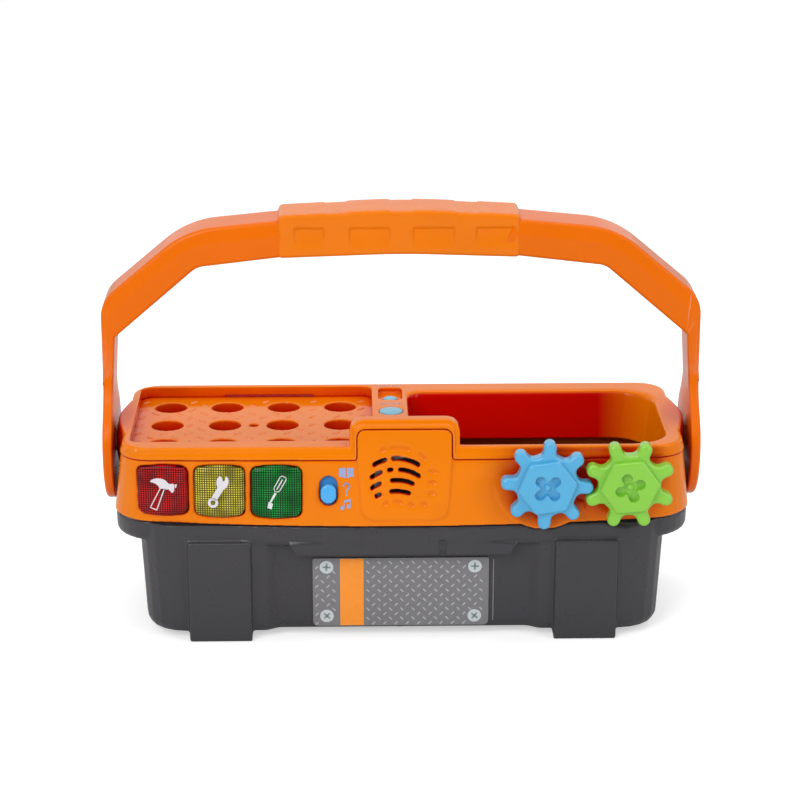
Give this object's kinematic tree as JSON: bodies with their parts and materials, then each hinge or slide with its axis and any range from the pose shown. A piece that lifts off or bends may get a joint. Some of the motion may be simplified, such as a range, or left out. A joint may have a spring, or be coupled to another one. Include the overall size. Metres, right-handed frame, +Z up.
{
  "type": "toy tool box",
  "caption": "Toy tool box: grey tub, orange housing with peg tray, open tool well, light buttons, slide switch, speaker, meshed spinning gears and a swinging carry handle.",
  "frame": {"origin": "on the floor, under the centre of the whole box", "axes": "+X to the right along the handle, +Y to the back, away from the gears, +Z up"},
  "size_m": [0.322, 0.1322, 0.2282],
  "materials": {
    "tub_plastic": "satin charcoal moulding with a fine grain",
    "housing_plastic": "glossy orange moulding",
    "handle_plastic": "glossy orange moulding",
    "grip_plastic": "satin orange moulding",
    "red_lens_plastic": "clear red with fine prisms",
    "yellow_lens_plastic": "clear yellow with fine prisms",
    "green_lens_plastic": "clear green with fine prisms",
    "guide_plastic": "milky white",
    "red_lamp_plastic": "clear red",
    "yellow_lamp_plastic": "clear yellow",
    "green_lamp_plastic": "clear green",
    "switch_plastic": "black moulding",
    "board_laminate": "green circuit board",
    "speaker_steel": "plated pressed steel",
    "speaker_paper": "black paper cone",
    "speaker_ferrite": "dull ferrite",
    "button_plastic": "glossy light blue",
    "slider_plastic": "glossy blue",
    "blue_gear_plastic": "glossy sky blue",
    "green_gear_plastic": "glossy lime green",
    "screw_steel": "plated",
    "cell_case": "printed sleeve on a metal can",
    "contact_steel": "nickel plated strip",
    "label_film": "printed film"
  },
  "bodies": {
    "box": {"tub": "tub_plastic", "side_housing": "housing_plastic", "top_deck": "housing_plastic", "peg_tray": "housing_plastic", "speaker_basket": "speaker_steel", "speaker_cone": "speaker_paper", "speaker_magnet": "speaker_ferrite", "key_board": "board_laminate", "red_lamp": "red_lamp_plastic", "yellow_lamp": "yellow_lamp_plastic", "green_lamp": "green_lamp_plastic", "red_key_switch": "switch_plastic", "yellow_key_switch": "switch_plastic", "green_key_switch": "switch_plastic", "slide_switch_body": "switch_plastic", "top_board": "board_laminate", "on_key_switch": "switch_plastic", "off_key_switch": "switch_plastic", "main_board": "board_laminate", "sound_chip": "switch_plastic", "battery_cell_1": "cell_case", "battery_cell_2": "cell_case", "battery_cell_3": "cell_case", "battery_contact_left": "contact_steel", "battery_contact_right": "contact_steel", "battery_door": "tub_plastic", "battery_door_screw": "screw_steel", "front_label": "label_film", "housing_screw_front_left": "screw_steel", "housing_screw_front_right": "screw_steel", "housing_screw_back_left": "screw_steel", "housing_screw_back_right": "screw_steel"},
    "handle": {"handle_frame": "handle_plastic", "handle_cover_left": "handle_plastic", "handle_cover_right": "handle_plastic", "grip_sleeve": "grip_plastic", "left_pivot_washer": "screw_steel", "left_pivot_screw": "screw_steel", "right_pivot_washer": "screw_steel", "right_pivot_screw": "screw_steel"},
    "red_button": {"red_lens": "red_lens_plastic", "red_light_guide": "guide_plastic"},
    "yellow_button": {"yellow_lens": "yellow_lens_plastic", "yellow_light_guide": "guide_plastic"},
    "green_button": {"green_lens": "green_lens_plastic", "green_light_guide": "guide_plastic"},
    "on_push": {"on_button": "button_plastic"},
    "off_push": {"off_button": "button_plastic"},
    "slider": {"mode_slider": "slider_plastic"},
    "blue_wheel": {"blue_gear": "blue_gear_plastic", "blue_gear_washer": "screw_steel", "blue_gear_screw": "screw_steel"},
    "green_wheel": {"green_gear": "green_gear_plastic", "green_gear_washer": "screw_steel", "green_gear_screw": "screw_steel"}
  },
  "joints": [
    {"name": "handle_swing", "type": "hinge", "parent": "box", "child": "handle", "pos_m": [0, 0.0071, 0.097], "axis": [1, 0, 0], "range_deg": [-85, 76]},
    {"name": "red_button_press", "type": "slide", "parent": "box", "child": "red_button", "axis": [0.0829, 0.9951, 0.0532], "range_m": [0, 0.002], "stiffness_N_per_m": 600},
    {"name": "yellow_button_press", "type": "slide", "parent": "box", "child": "yellow_button", "axis": [0.0635, 0.9973, -0.0359], "range_m": [0, 0.002], "stiffness_N_per_m": 600},
    {"name": "green_button_press", "type": "slide", "parent": "box", "child": "green_button", "axis": [0.0437, 0.994, -0.1007], "range_m": [0, 0.002], "stiffness_N_per_m": 600},
    {"name": "on_button_press", "type": "slide", "parent": "box", "child": "on_push", "axis": [0, 0, -1], "range_m": [0, 0.0014], "stiffness_N_per_m": 500},
    {"name": "off_button_press", "type": "slide", "parent": "box", "child": "off_push", "axis": [0, 0, -1], "range_m": [0, 0.0014], "stiffness_N_per_m": 500},
    {"name": "mode_slide", "type": "slide", "parent": "box", "child": "slider", "axis": [0.0035, 0.1386, 0.9903], "range_m": [0, 0.0036]},
    {"name": "blue_gear_spin", "type": "hinge", "parent": "box", "child": "blue_wheel", "pos_m": [0.0754, -0.0629, 0.0925], "axis": [0, 1, 0], "continuous": true},
    {"name": "green_gear_spin", "type": "hinge", "parent": "box", "child": "green_wheel", "pos_m": [0.1188, -0.0629, 0.0925], "axis": [0, 1, 0], "continuous": true}
  ],
  "couplings": [
    {"joint": "green_gear_spin", "follows": "blue_gear_spin", "ratio": -1}
  ]
}
